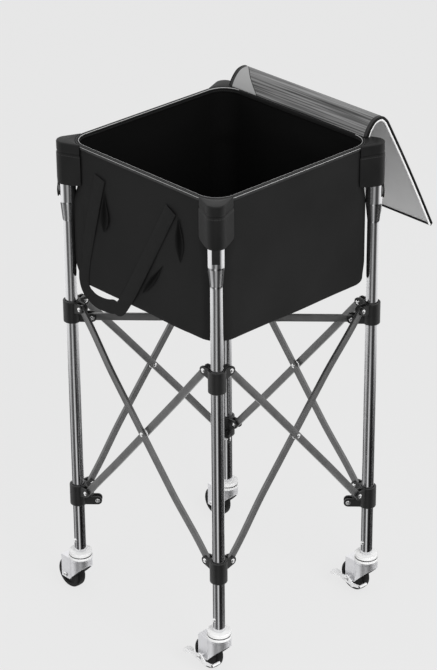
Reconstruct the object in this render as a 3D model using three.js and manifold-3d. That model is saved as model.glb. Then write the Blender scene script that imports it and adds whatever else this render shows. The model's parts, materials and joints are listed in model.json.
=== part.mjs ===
// A folding ball cart: four legs on swivel casters, joined by scissor bars, carrying a fabric bag.
// Millimetres, +Z up. The cart is modelled around its own axis and moved to its bounding box at the end.
import * as THREE from 'three';
import { mergeVertices } from 'three/addons/utils/BufferGeometryUtils.js';
import { ConvexGeometry } from 'three/addons/geometries/ConvexGeometry.js';
import Module from 'manifold-3d';

const wasm = await Module();
wasm.setup();

// Driving dimensions of the whole cart
const legSpacing = 370;
const clearance = 0.3;
const overrun = 5;

// Legs: a thin tube whose top end is swaged wider inside the corner pocket
const tubeRadius = 11;
const tubeWall = 1.5;
const swageRadius = 14.5;
const swageTall = 34;
const swageDrop = 113;
const legTopDrop = 3;

// Caster: raceway, stem, fork, wheel and axle
const racewayTop = 87;
const racewayRadius = 22;
const racewayStep = 1.5;
const racewayHeight = 18;
const stemLength = 52;
const kingpinRadius = 4;
const kingpinHeadRadius = 7;
const kingpinHeadHeight = 3;
const forkPlate = 3.5;
const forkWall = 2.8;
const forkInnerWidth = 25.6;
const forkBehindAxle = 11.3;
const forkBelowAxle = 6.5;
const hoodRadius = 21.5;
const hoodLowFront = 60.5;
const wheelRadius = 29.5;
const wheelWidth = 18;
const wheelShoulder = 3;
const wheelHubRadius = 8;
const wheelDishRadius = 20;
const wheelDishDepth = 2.5;
const wheelHubWidth = 23;
const trail = 26;
const axleRadius = 3;
const axleHeadRadius = 5;
const axleHeadHeight = 2;
const wheelSides = 24;

// Brake lever: a cheek outside the fork, a paddle behind the wheel and a shoe before it
const brakeCheek = 2.2;
const brakeBossRadius = 6.5;
const brakeBellyRadius = 9;
const brakeBellyReach = 12;
const brakeBellyDrop = 5;
const brakeNotchReach = 15;
const brakeNotchDrop = 4;
const brakePaddleReach = 38;
const brakePaddleLength = 13;
const brakePaddleWidth = 13;
const brakePaddleThickness = 3;
const brakePaddleDrop = 2;
const brakeShoeRadius = 2.5;
const brakeShoeGap = 1.2;
const brakeShoeDrop = 4.5;
const brakeShoeWidth = 18;

// Snap button that locks the caster stem in the leg
const buttonHeight = 111;
const buttonRadius = 3.8;
const buttonStandout = 3;
const buttonFlangeRadius = 4.6;
const buttonFlangeThickness = 1.8;
const buttonTail = 6.3;
const buttonTravel = 3;

// Collars: a moulded barrel with two side lugs and one lug towards the middle of the cart
const collarRadius = 15.5;
const collarHeight = 41;
const collarEdge = 1.6;
const lowerCollarBottom = 187;
const collarUnderBag = 83;
const lugThickness = 14.4;
const lugSlot = 7;
const lugRadius = 8;
const sideLugReach = 27;
const sideLugHeight = 32;
const sideLugRoot = 17;
const diagonalLugReach = 35;
const diagonalLugHeight = 8;
const diagonalLugRoot = 20;
const rivetRadius = 2.5;
const rivetHeadRadius = 4.3;
const rivetHeadHeight = 1.8;

// Scissor bars and brace arms: flat strip, bowed sideways where two of them pass each other
const barWidth = 13;
const barThickness = 6;
const barEndMargin = 6.5;
const barFlatHalf = 110;
const barSeat = 24;
const spacerThickness = 1.5;
const spacerRadius = 8;
const braceOverlap = 62;
const braceBend = 50;

// Bag: fabric walls, two floor halves, a bound rim and the pockets that hold the leg tops
const bagCornerRadius = 42;
const bagFabric = 3;
const bagDepth = 260;
const rimHeight = 900;
const bindingDepth = 8;
const bindingProud = 1.5;
const floorFabric = 3;

// Corner pockets: cloth sleeves over the leg tops, each with a webbing tab
const pocketShoulderDrop = 61;
const pocketBottomDrop = 77;
const pocketRadius = 17;
const pocketFabric = 2.6;
const pocketReach = 37;
const tabWidth = 13;
const tabThickness = 2.2;
const tabLength = 25;

// Lid: a band sewn along the back rim that arches over, and the panel sewn to it
const lidHalfWidth = 168;
const lidFabric = 4;
const lidBandInset = 1.5;
const lidBandSteps = [[7, 12], [19, 23], [35, 25], [46, 17], [52, 8]];
const lidPanelDrop = 222;
const lidPanelRun = 117;

// Handle strap: webbing sewn to the bag at both ends, its loop hanging under the bag.
// Its points are given as places along the wall and drops below the rim.
const strapHalfWidth = 13;
const strapThickness = 3;
const strapLeftTop = [-99, 44];
const strapLoop = [
  [-122, 126], [-146, 224], [-146, 262], [-128, 278], [-104, 282], [-72, 276], [-40, 254],
];
const strapRightTop = [78, 46];
const strapSteps = 40;

// Numbers of sides
const roundSides = 16;
const collarSides = 14;
const smallSides = 8;
const arcSteps = 3;

const half = legSpacing / 2;
const bagWidth = legSpacing;
const bagBottom = rimHeight - bagDepth;
const upperCollarBottom = bagBottom - collarUnderBag;
const pocketBottom = rimHeight - pocketBottomDrop;
const legTop = rimHeight - legTopDrop;
const swageEnd = rimHeight - swageDrop;
const swageStart = swageEnd - swageTall;
const quarterTurn = Math.PI / 2;

const steel = new THREE.MeshStandardMaterial({ color: 0xc9ccd0, roughness: 0.25, metalness: 1 });
const aluminium = new THREE.MeshStandardMaterial({ color: 0xb9bcc0, roughness: 0.3, metalness: 1 });
const plastic = new THREE.MeshStandardMaterial({ color: 0x17181a, roughness: 0.5, metalness: 0 });
const nylon = new THREE.MeshStandardMaterial({ color: 0xd8d8d2, roughness: 0.6, metalness: 0 });
const zinc = new THREE.MeshStandardMaterial({ color: 0xe2e4e6, roughness: 0.3, metalness: 0.8 });
const rubber = new THREE.MeshStandardMaterial({ color: 0x141416, roughness: 0.7, metalness: 0 });
const fabric = new THREE.MeshStandardMaterial({ color: 0x222325, roughness: 0.9, metalness: 0 });
const webbing = new THREE.MeshStandardMaterial({ color: 0x131315, roughness: 0.85, metalness: 0 });
const mesh = new THREE.MeshStandardMaterial({ color: 0x76797c, roughness: 0.8, metalness: 0 });

const cart = new THREE.Group();

// Six times the signed volume, which is negative where the faces point inwards
function signedVolume(positions, index) {
  let volume = 0;
  const a = new THREE.Vector3();
  const b = new THREE.Vector3();
  const c = new THREE.Vector3();
  for (let i = 0; i < index.length; i += 3) {
    a.fromArray(positions, 3 * index[i]);
    b.fromArray(positions, 3 * index[i + 1]);
    c.fromArray(positions, 3 * index[i + 2]);
    volume += a.dot(b.cross(c));
  }
  return volume;
}

// A closed three.js geometry as a solid for joining and cutting
function solidOf(geometry) {
  const bare = geometry.clone();
  bare.deleteAttribute('normal');
  bare.deleteAttribute('uv');
  const merged = mergeVertices(bare);
  const positions = new Float32Array(merged.attributes.position.array);
  const index = new Uint32Array(merged.index.array);
  const triangles = [];
  for (let i = 0; i < index.length; i += 3) {
    const [a, b, c] = index.subarray(i, i + 3);
    if (a !== b && b !== c && c !== a) triangles.push(a, b, c);
  }
  if (signedVolume(positions, triangles) < 0) triangles.reverse();
  return new wasm.Manifold(new wasm.Mesh({
    numProp: 3,
    vertProperties: positions,
    triVerts: new Uint32Array(triangles),
  }));
}

function geometryOf(solid) {
  const { vertProperties, triVerts } = solid.getMesh();
  const geometry = new THREE.BufferGeometry();
  geometry.setAttribute('position', new THREE.BufferAttribute(vertProperties, 3));
  geometry.setIndex(new THREE.BufferAttribute(triVerts, 1));
  geometry.computeVertexNormals();
  return geometry;
}

const join = (first, ...others) => others.reduce((sum, other) => sum.add(other), first);
const cut = (first, ...others) => others.reduce((rest, other) => rest.subtract(other), first);

function place(name, solid, material, group = cart) {
  const part = new THREE.Mesh(geometryOf(solid), material);
  part.name = name;
  group.add(part);
  return part;
}

// A profile of [radius, height] points turned about +Z
function turned(profile, sides = roundSides) {
  const points = profile.map(([radius, height]) => new THREE.Vector2(radius, height));
  return new THREE.LatheGeometry(points, sides).rotateX(quarterTurn);
}

// A rod along +Z between two heights
function rod(radius, low, high, sides = smallSides) {
  return turned([[0, low], [radius, low], [radius, high], [0, high]], sides);
}

// Bases that stand a drawn outline up: its plane, and the way it is extruded
const planes = {
  xy: new THREE.Matrix4(),
  xz: new THREE.Matrix4().makeRotationX(quarterTurn),
  yz: new THREE.Matrix4().makeBasis(
    new THREE.Vector3(0, 1, 0), new THREE.Vector3(0, 0, 1), new THREE.Vector3(1, 0, 0)),
};

// An outline with thickness, centred on its plane
function slab(shape, thickness, plane = 'xy') {
  const settings = { depth: thickness, bevelEnabled: false, curveSegments: arcSteps };
  const geometry = new THREE.ExtrudeGeometry(shape, settings);
  return geometry.translate(0, 0, -thickness / 2).applyMatrix4(planes[plane]);
}

function block(width, depth, height, x, y, z) {
  return new THREE.BoxGeometry(width, depth, height).translate(x, y, z);
}

function outline(points) {
  return new THREE.Shape(points.map(([x, y]) => new THREE.Vector2(x, y)));
}

// A rod across the given axis, centred on a point
function pin(radius, length, axis, point) {
  const geometry = rod(radius, -length / 2, length / 2);
  if (axis === 'y') geometry.rotateX(quarterTurn);
  if (axis === 'x') geometry.rotateY(quarterTurn);
  return solidOf(geometry.translate(...point));
}

// A domed rivet through two ears: shank and both heads in one turned profile
function rivet(span, axis, point) {
  const ear = span / 2;
  const tip = ear + rivetHeadHeight;
  const dome = rivetHeadRadius - rivetHeadHeight;
  const above = [[rivetRadius, ear], [rivetHeadRadius, ear], [dome, tip], [0, tip]];
  const below = above.map(([radius, height]) => [radius, -height]).reverse();
  const geometry = turned([...below, ...above], smallSides);
  if (axis === 'y') geometry.rotateX(quarterTurn);
  return solidOf(geometry.translate(...point));
}

// Legs, front-left to back-left counterclockwise from the left leg
const corners = [
  { name: 'left', x: -half, y: -half, turn: 0 },
  { name: 'front', x: half, y: -half, turn: 1 },
  { name: 'right', x: half, y: half, turn: 2 },
  { name: 'back', x: -half, y: half, turn: 3 },
];

function legTube() {
  const inner = tubeRadius - tubeWall;
  const swageInner = swageRadius - tubeWall;
  const bottom = racewayTop + clearance;
  const tube = solidOf(turned([
    [tubeRadius, bottom], [tubeRadius, swageStart], [swageRadius, swageEnd], [swageRadius, legTop],
    [swageInner, legTop], [swageInner, swageEnd], [inner, swageStart], [inner, bottom],
    [tubeRadius, bottom],
  ]));
  const hole = pin(buttonRadius + clearance, tubeRadius, 'y', [0, -tubeRadius, buttonHeight]);
  return cut(tube, hole);
}

function casterStem() {
  const stemRadius = tubeRadius - tubeWall - clearance;
  const ringBottom = racewayTop - racewayHeight;
  const ringMiddle = racewayTop - racewayHeight / 2;
  const headTop = ringBottom - forkPlate - 2 * clearance;
  const stem = solidOf(turned([
    [0, headTop - kingpinHeadHeight], [kingpinHeadRadius, headTop - kingpinHeadHeight],
    [kingpinHeadRadius, headTop], [kingpinRadius, headTop], [kingpinRadius, ringBottom],
    [racewayRadius, ringBottom], [racewayRadius, ringMiddle],
    [racewayRadius - racewayStep, ringMiddle], [racewayRadius - racewayStep, racewayTop],
    [stemRadius, racewayTop], [stemRadius, racewayTop + stemLength], [0, racewayTop + stemLength],
  ]));
  const depth = stemRadius - (buttonTail - buttonTravel - clearance);
  const socket = pin(buttonFlangeRadius + clearance, 2 * depth, 'y', [0, -stemRadius, buttonHeight]);
  return cut(stem, socket);
}

// The button points along -Y; its flange stays behind the tube wall
function snapButton() {
  const tip = tubeRadius + buttonStandout;
  const shoulder = tubeRadius + buttonStandout / 2;
  const button = turned([
    [0, buttonTail], [buttonFlangeRadius, buttonTail],
    [buttonFlangeRadius, buttonTail + buttonFlangeThickness],
    [buttonRadius, buttonTail + buttonFlangeThickness], [buttonRadius, shoulder],
    [buttonRadius / 2, tip], [0, tip],
  ], smallSides);
  return solidOf(button.rotateX(quarterTurn).translate(0, 0, buttonHeight));
}

// A lug's ear outline in its own plane, seen from the side, with its slot cut across it
function lug(reach, height, root, low) {
  const ear = new THREE.Shape();
  ear.moveTo(0, low);
  ear.lineTo(reach, height - lugRadius);
  ear.absarc(reach, height, lugRadius, -quarterTurn, quarterTurn, false);
  ear.lineTo(0, height + lugRadius);
  const ears = solidOf(slab(ear, lugThickness, 'xz'));
  const slotLength = reach + lugRadius + overrun - root;
  const slotTall = collarHeight + 2 * overrun;
  const middle = root + slotLength / 2;
  const slot = solidOf(block(slotLength, lugSlot, slotTall, middle, 0, collarHeight / 2));
  const pinned = rivet(lugThickness, 'y', [reach, 0, height]);
  return join(cut(ears, slot), pinned);
}

// A collar at the left leg: side lugs along +X and +Y, the third lug between them
function collar() {
  const bore = tubeRadius + clearance;
  const edge = collarRadius - collarEdge;
  const bored = solidOf(rod(bore, -overrun, collarHeight + overrun, collarSides));
  const barrel = solidOf(turned([
    [0, 0], [edge, 0], [collarRadius, collarEdge], [collarRadius, collarHeight - collarEdge],
    [edge, collarHeight], [0, collarHeight],
  ], collarSides));
  const side = lug(sideLugReach, sideLugHeight, sideLugRoot, sideLugHeight / 2);
  const middle = lug(diagonalLugReach, diagonalLugHeight, diagonalLugRoot, 0);
  const lugs = join(side, side.rotate([0, 0, 90]), middle.rotate([0, 0, 45]));
  return cut(join(barrel, lugs), bored);
}

const scissorSpan = legSpacing - 2 * sideLugReach;
const scissorRise = upperCollarBottom - lowerCollarBottom;
const scissorLength = Math.hypot(scissorSpan, scissorRise);
const scissorTilt = Math.atan2(scissorRise, scissorSpan);
const scissorMiddle = (upperCollarBottom + lowerCollarBottom) / 2 + sideLugHeight;
const barBow = (barThickness + spacerThickness) / 2 + clearance;
const holeRadius = rivetRadius + clearance;

function stadium(from, to, radius) {
  const shape = new THREE.Shape();
  shape.absarc(to, 0, radius, -quarterTurn, quarterTurn, false);
  shape.absarc(from, 0, radius, quarterTurn, 3 * quarterTurn, false);
  return shape;
}

// A bar along X: its edge view gives the bow, its face view the round ends and the holes
function bar(path, from, to, holes) {
  const far = path.map(([x, y]) => [x, y + barThickness / 2]);
  const near = path.map(([x, y]) => [x, y - barThickness / 2]).reverse();
  const strip = solidOf(slab(outline([...far, ...near]), barWidth));
  const face = stadium(from, to, barWidth / 2);
  const wide = 2 * (barThickness + spacerThickness) + 2 * overrun;
  const trimmed = strip.intersect(solidOf(slab(face, wide, 'xz')));
  return cut(trimmed, ...holes.map(x => pin(holeRadius, wide, 'y', [x, 0, 0])));
}

// One scissor bar; side is 1 for the bar bowed to +Y and -1 for the other
function scissorBar(side, ownsRivet) {
  const end = scissorLength / 2 + barEndMargin + overrun;
  const bow = side * barBow;
  const reach = scissorLength / 2;
  const seat = reach - barSeat;
  const path = [
    [-end, 0], [-seat, 0], [-barFlatHalf, bow], [barFlatHalf, bow], [seat, 0], [end, 0],
  ];
  if (!ownsRivet) return bar(path, -reach, reach, [-reach, 0, reach]);
  const span = 2 * barBow + barThickness + 2 * clearance;
  return join(bar(path, -reach, reach, [-reach, reach]), rivet(span, 'y', [0, 0, 0]));
}

function barSpacer() {
  const ring = turned([
    [holeRadius, -spacerThickness / 2], [spacerRadius, -spacerThickness / 2],
    [spacerRadius, spacerThickness / 2], [holeRadius, spacerThickness / 2],
    [holeRadius, -spacerThickness / 2],
  ], collarSides);
  return solidOf(ring.rotateX(quarterTurn));
}

// A brace arm along X from its lug to the middle of the cart, where it passes beside the other arm
const braceReach = half * Math.SQRT2 - diagonalLugReach;
function braceArm() {
  const aside = barThickness / 2 + clearance;
  const shift = braceReach - braceOverlap;
  const path = [
    [-barEndMargin - overrun, 0], [shift - braceBend, 0], [shift, aside],
    [braceReach + barEndMargin + overrun, aside],
  ];
  const strip = bar(path, 0, braceReach, [0]);
  const proud = aside + barThickness / 2;
  const headMiddle = proud + rivetHeadHeight / 2 - clearance;
  const head = pin(rivetHeadRadius, rivetHeadHeight, 'y', [braceReach, headMiddle, 0]);
  return join(strip, head);
}

// Caster parts stand under the leg's axis, the wheel trailing towards -X
const forkSeat = forkInnerWidth / 2 + forkWall + clearance;
const brakeSeat = hoodRadius + clearance;
const axleHeight = wheelRadius * Math.cos(Math.PI / wheelSides);
const forkTop = racewayTop - racewayHeight - clearance;
const forkOuterWidth = forkInnerWidth + 2 * forkWall;
const forkRear = -trail - forkBehindAxle;

// The fork from the side: two straight legs behind, the hood's edge rising from them to the front
function forkOutline() {
  const legBottom = axleHeight - forkBelowAxle;
  const legFront = -Math.sqrt(hoodRadius ** 2 - (forkOuterWidth / 2) ** 2);
  return outline([
    [forkRear, forkTop], [forkRear, legBottom], [legFront, legBottom],
    [hoodRadius, hoodLowFront], [hoodRadius, forkTop],
  ]);
}

// The fork from above: straight sides behind a round hood, drawn in by the given wall
function forkPlan(wall) {
  const halfWidth = forkOuterWidth / 2 - wall;
  const radius = hoodRadius - wall;
  const meet = Math.asin(halfWidth / radius);
  const behind = forkRear - overrun;
  const shape = new THREE.Shape();
  shape.moveTo(behind, -halfWidth);
  shape.lineTo(-radius * Math.cos(meet), -halfWidth);
  shape.absarc(0, 0, radius, meet - Math.PI, 0, false);
  shape.absarc(0, 0, radius, 0, Math.PI - meet, false);
  shape.lineTo(behind, halfWidth);
  return shape;
}

function casterFork() {
  const tall = 2 * racewayTop;
  const body = solidOf(slab(forkOutline(), forkOuterWidth + 2 * overrun, 'xz'));
  const plan = solidOf(slab(forkPlan(0), tall));
  const inside = slab(forkPlan(forkWall), forkTop);
  const hollow = solidOf(inside.translate(0, 0, forkTop / 2 - forkPlate));
  const kingpinHole = solidOf(rod(kingpinRadius + clearance, 0, racewayTop, roundSides));
  const axleHole = pin(axleRadius + clearance, tall, 'y', [-trail, 0, axleHeight]);
  return cut(body.intersect(plan), hollow, kingpinHole, axleHole);
}

function casterWheel() {
  const bore = axleRadius + clearance;
  const edge = wheelWidth / 2;
  const hub = wheelHubWidth / 2;
  const dish = edge - wheelDishDepth;
  const profile = [
    [bore, -hub], [wheelHubRadius, -hub], [wheelHubRadius, -dish], [wheelDishRadius, -dish],
    [wheelDishRadius, -edge], [wheelRadius - wheelShoulder, -edge],
    [wheelRadius, -edge + wheelShoulder],
  ];
  const mirrored = profile.map(([radius, y]) => [radius, -y]).reverse();
  const wheel = turned([...profile, ...mirrored, profile[0]], wheelSides);
  const standing = wheel.rotateZ(Math.PI / wheelSides).rotateX(quarterTurn);
  return solidOf(standing.translate(-trail, 0, axleHeight));
}

function casterAxle(nearSeat, farSeat) {
  const span = nearSeat + farSeat + 2 * axleHeadHeight;
  const shank = pin(axleRadius, span, 'y', [-trail, (farSeat - nearSeat) / 2, axleHeight]);
  const head = y => pin(axleHeadRadius, axleHeadHeight, 'y', [-trail, y, axleHeight]);
  const seated = axleHeadHeight / 2 + clearance;
  return join(shank, head(farSeat + seated), head(-nearSeat - seated));
}

// The brake lever turns on the axle, outside the fork on the -Y side
function casterBrake() {
  const inner = brakeSeat;
  const outer = inner + brakeCheek;
  const middle = -inner - brakeCheek / 2;
  const shoeRadial = wheelRadius + brakeShoeGap + brakeShoeRadius;
  const shoeX = Math.sqrt(shoeRadial ** 2 - brakeShoeDrop ** 2);
  const paddleFront = brakePaddleReach - brakePaddleLength;
  const paddleHigh = brakePaddleThickness / 2 - brakePaddleDrop;
  const paddleLow = -brakePaddleThickness / 2 - brakePaddleDrop;
  const cheek = new THREE.Shape();
  cheek.moveTo(-brakePaddleReach, paddleHigh);
  cheek.lineTo(-brakePaddleReach, paddleLow);
  cheek.lineTo(-paddleFront, paddleLow);
  const belly = [brakeBellyReach, -brakeBellyDrop, brakeBellyRadius];
  cheek.absarc(...belly, 5 * quarterTurn / 2, 7 * quarterTurn / 2, false);
  cheek.absarc(shoeX, -brakeShoeDrop, brakeShoeRadius, -quarterTurn, quarterTurn, false);
  cheek.lineTo(brakeNotchReach, -brakeNotchDrop);
  cheek.absarc(0, 0, brakeBossRadius, quarterTurn / 2, 3 * quarterTurn / 2, false);
  const plate = solidOf(slab(cheek, brakeCheek, 'xz').translate(0, middle, 0));
  const paddle = solidOf(block(
    brakePaddleLength, brakePaddleWidth, brakePaddleThickness,
    -brakePaddleReach + brakePaddleLength / 2, -outer + brakePaddleWidth / 2, -brakePaddleDrop));
  const shoe = pin(brakeShoeRadius, brakeShoeWidth, 'y',
    [shoeX, -outer + brakeShoeWidth / 2, -brakeShoeDrop]);
  const hole = pin(axleRadius + clearance, 4 * outer, 'y', [0, 0, 0]);
  return cut(join(plate, paddle, shoe), hole).translate([-trail, 0, axleHeight]);
}

// Each leg with what stands on it or is fixed to it
const braked = ['front', 'right'];
for (const corner of corners) {
  const leg = new THREE.Group();
  leg.position.set(corner.x, corner.y, 0);
  cart.add(leg);
  place(`leg_tube_${corner.name}`, legTube(), aluminium, leg);
  place(`caster_stem_${corner.name}`, casterStem(), nylon, leg);
  place(`snap_button_${corner.name}`, snapButton(), steel, leg);
  place(`caster_fork_${corner.name}`, casterFork(), zinc, leg);
  place(`caster_wheel_${corner.name}`, casterWheel(), rubber, leg);
  const hasBrake = braked.includes(corner.name);
  const nearSeat = hasBrake ? brakeSeat + brakeCheek + clearance : forkSeat;
  place(`caster_axle_${corner.name}`, casterAxle(nearSeat, forkSeat), steel, leg);
  if (hasBrake) place(`caster_brake_${corner.name}`, casterBrake(), zinc, leg);

  const turnedLeg = new THREE.Group();
  turnedLeg.rotation.z = corner.turn * quarterTurn;
  leg.add(turnedLeg);
  const lower = place(`lower_collar_${corner.name}`, collar(), plastic, turnedLeg);
  lower.position.z = lowerCollarBottom;
  const upper = place(`upper_collar_${corner.name}`, collar(), plastic, turnedLeg);
  upper.position.z = upperCollarBottom;
  place(`corner_pocket_${corner.name}`, cornerPocket(), fabric, turnedLeg);
}

// Four scissor pairs, one a side; each rises from its first leg to its second
const sides = ['front_left', 'front_right', 'back_right', 'back_left'];
sides.forEach((side, turn) => {
  const frame = new THREE.Group();
  frame.rotation.z = turn * quarterTurn;
  cart.add(frame);
  const rising = place(`scissor_rising_${side}`, scissorBar(1, false), aluminium, frame);
  rising.rotation.y = -scissorTilt;
  const falling = place(`scissor_falling_${side}`, scissorBar(-1, true), aluminium, frame);
  falling.rotation.y = scissorTilt;
  const spacer = place(`scissor_spacer_${side}`, barSpacer(), nylon, frame);
  for (const piece of [rising, falling, spacer]) piece.position.set(0, -half, scissorMiddle);
});

// The two brace arms meet in the middle of the cart, from the left and the right upper collars
for (const corner of corners.filter(({ name }) => name === 'left' || name === 'right')) {
  const inward = quarterTurn / 2 + corner.turn * quarterTurn;
  const arm = place(`brace_arm_${corner.name}`, braceArm(), aluminium);
  arm.rotation.z = inward;
  arm.position.set(
    corner.x + diagonalLugReach * Math.cos(inward),
    corner.y + diagonalLugReach * Math.sin(inward),
    upperCollarBottom + diagonalLugHeight,
  );
}

// A length of the bag's wall seen from above, over one side and half of each of its corners
const arcCentre = bagWidth / 2 - bagCornerRadius;
const sliver = clearance / (bagCornerRadius - bagFabric);
function wallOutline(outer, inner, first, last) {
  const shape = new THREE.Shape();
  const arcs = [];
  for (let turn = first; turn <= last; turn += 1) {
    const middle = (2 + turn) * quarterTurn;
    const [x, y] = [
      arcCentre * Math.SQRT2 * Math.cos(middle + quarterTurn / 2),
      arcCentre * Math.SQRT2 * Math.sin(middle + quarterTurn / 2),
    ];
    const from = turn === first ? middle + quarterTurn / 2 + sliver : middle;
    const to = turn === last ? middle + quarterTurn / 2 - sliver : middle + quarterTurn;
    arcs.push([x, y, from, to]);
  }
  for (const [x, y, from, to] of arcs) shape.absarc(x, y, outer, from, to, false);
  for (const [x, y, from, to] of arcs.reverse()) shape.absarc(x, y, inner, to, from, true);
  return shape;
}

// Bag walls from the corner at turn first to the corner at turn last, with the bound rim
function bagWall(first, last) {
  const inner = bagCornerRadius - bagFabric;
  const wallTall = rimHeight - bagBottom;
  const wall = slab(wallOutline(bagCornerRadius, inner, first, last), wallTall);
  const bindingShape = wallOutline(
    bagCornerRadius + bindingProud, inner - bindingProud, first, last);
  const binding = slab(bindingShape, bindingDepth);
  return join(
    solidOf(wall.translate(0, 0, bagBottom + wallTall / 2)),
    solidOf(binding.translate(0, 0, rimHeight - bindingDepth / 2)),
  );
}

place('bag_wall_left', bagWall(-1, 1), fabric);
place('bag_wall_front_right', bagWall(1, 2), fabric);
place('bag_wall_back_right', bagWall(2, 3), fabric);

// Half of the bag's floor, on the side given by 1 for +X and -1 for -X
function bagFloor(side) {
  const radius = bagCornerRadius - bagFabric - clearance;
  const reach = arcCentre;
  const shape = new THREE.Shape();
  shape.moveTo(clearance / 2, -reach - radius);
  shape.lineTo(reach, -reach - radius);
  shape.absarc(reach, -reach, radius, -quarterTurn, 0, false);
  shape.absarc(reach, reach, radius, 0, quarterTurn, false);
  shape.lineTo(clearance / 2, reach + radius);
  const floor = slab(shape, floorFabric).translate(0, 0, bagBottom + floorFabric / 2);
  if (side < 0) floor.rotateZ(Math.PI);
  return solidOf(floor);
}

place('bag_floor_left', bagFloor(-1), fabric);
place('bag_floor_right', bagFloor(1), fabric);

// A pocket at the left leg: a cloth hood over the tube's top, sewn to both faces of the bag
function cornerPocket() {
  const points = [];
  const ring = (radius, height) => {
    for (let i = 0; i < roundSides; i += 1) {
      const angle = i * Math.PI * 2 / roundSides;
      points.push(new THREE.Vector3(radius * Math.cos(angle), radius * Math.sin(angle), height));
    }
  };
  const wings = height => points.push(
    new THREE.Vector3(pocketReach, -pocketFabric, height),
    new THREE.Vector3(-pocketFabric, pocketReach, height),
    new THREE.Vector3(pocketReach, 0, height),
    new THREE.Vector3(0, pocketReach, height),
  );
  const underBinding = rimHeight - bindingDepth - clearance;
  const shoulder = rimHeight - pocketShoulderDrop;
  ring(pocketRadius, rimHeight);
  ring(pocketRadius, shoulder);
  wings(underBinding);
  wings(shoulder);
  ring(swageRadius + pocketFabric, pocketBottom);
  const hood = solidOf(new ConvexGeometry(points));
  const wall = solidOf(slab(bagSpace(clearance), 2 * rimHeight).translate(0, 0, rimHeight));
  const rimTall = bindingDepth + clearance + overrun;
  const rim = solidOf(
    slab(bagSpace(bindingProud + clearance), rimTall).translate(0, 0, underBinding + rimTall / 2));
  const tube = solidOf(rod(swageRadius + clearance, 0, legTop + clearance, roundSides));
  const tabTall = tabLength + 2 * pocketFabric;
  const tabRadial = swageRadius + clearance + tabThickness / 2;
  const tabMiddle = pocketBottom - tabLength + tabTall / 2;
  const tab = solidOf(block(tabThickness, tabWidth, tabTall, tabRadial, 0, tabMiddle));
  return cut(join(hood, tab.rotate([0, 0, 225])), wall, rim, tube);
}

// The space the bag fills beside the left leg, wider by the given gap
function bagSpace(gap) {
  const shape = new THREE.Shape();
  const centre = bagCornerRadius;
  const radius = bagCornerRadius + gap;
  const diagonal = 5 * quarterTurn / 2;
  shape.absarc(centre, centre, radius, Math.PI, diagonal, false);
  shape.absarc(centre, centre, radius, diagonal, 3 * quarterTurn, false);
  shape.lineTo(legSpacing, -gap);
  shape.lineTo(legSpacing, legSpacing);
  shape.lineTo(-gap, legSpacing);
  return shape;
}

// A ribbon of cloth drawn from the side by its middle line, centred on that line
function ribbon(line, thickness) {
  const left = [];
  const right = [];
  line.forEach((point, i) => {
    const before = line[Math.max(i - 1, 0)];
    const after = line[Math.min(i + 1, line.length - 1)];
    const along = after.clone().sub(before).normalize();
    const across = new THREE.Vector2(-along.y, along.x).multiplyScalar(thickness / 2);
    left.push(point.clone().add(across));
    right.unshift(point.clone().sub(across));
  });
  return new THREE.Shape([...left, ...right]);
}

// The band stands on the rim with a level edge, then arches over to the seam
const lidEdge = new THREE.Vector2(bagWidth / 2 - lidBandInset, rimHeight + clearance);
const lidFoot = lidEdge.clone().add(new THREE.Vector2(0, lidFabric / 2));
const bandEnds = lidBandSteps.map(([out, up]) => new THREE.Vector2(lidFoot.x + out, lidFoot.y + up));
const bandLine = [lidEdge, ...new THREE.SplineCurve([lidFoot, ...bandEnds]).getPoints(2 * arcSteps)];
place('lid_band', solidOf(slab(ribbon(bandLine, lidFabric), 2 * lidHalfWidth, 'yz')), mesh);

const seam = bandLine.at(-1);
const down = new THREE.Vector2(lidPanelRun, -lidPanelDrop).normalize();
const panelLine = [
  seam.clone().addScaledVector(down, clearance),
  seam.clone().add(new THREE.Vector2(lidPanelRun, -lidPanelDrop)),
];
place('lid_panel', solidOf(slab(ribbon(panelLine, lidFabric), 2 * lidHalfWidth, 'yz')), mesh);

const strapPoints = [strapLeftTop, ...strapLoop, strapRightTop].map(
  ([x, drop]) => new THREE.Vector2(x, rimHeight - drop));
const strapLine = new THREE.SplineCurve(strapPoints).getPoints(strapSteps);
const strap = slab(ribbon(strapLine, 2 * strapHalfWidth), strapThickness, 'xz');
const strapFace = -bagWidth / 2 - clearance - strapThickness / 2;
place('handle_strap', solidOf(strap.translate(0, strapFace, 0)), webbing);

// The origin is the bottom centre of the whole cart
const box = new THREE.Box3().setFromObject(cart, true);
const centre = box.getCenter(new THREE.Vector3());
cart.position.set(-centre.x, -centre.y, -box.min.z);

export default cart;
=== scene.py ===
import json
import math

import bmesh
import bpy
import numpy as np
from mathutils import Matrix, Vector

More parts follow.
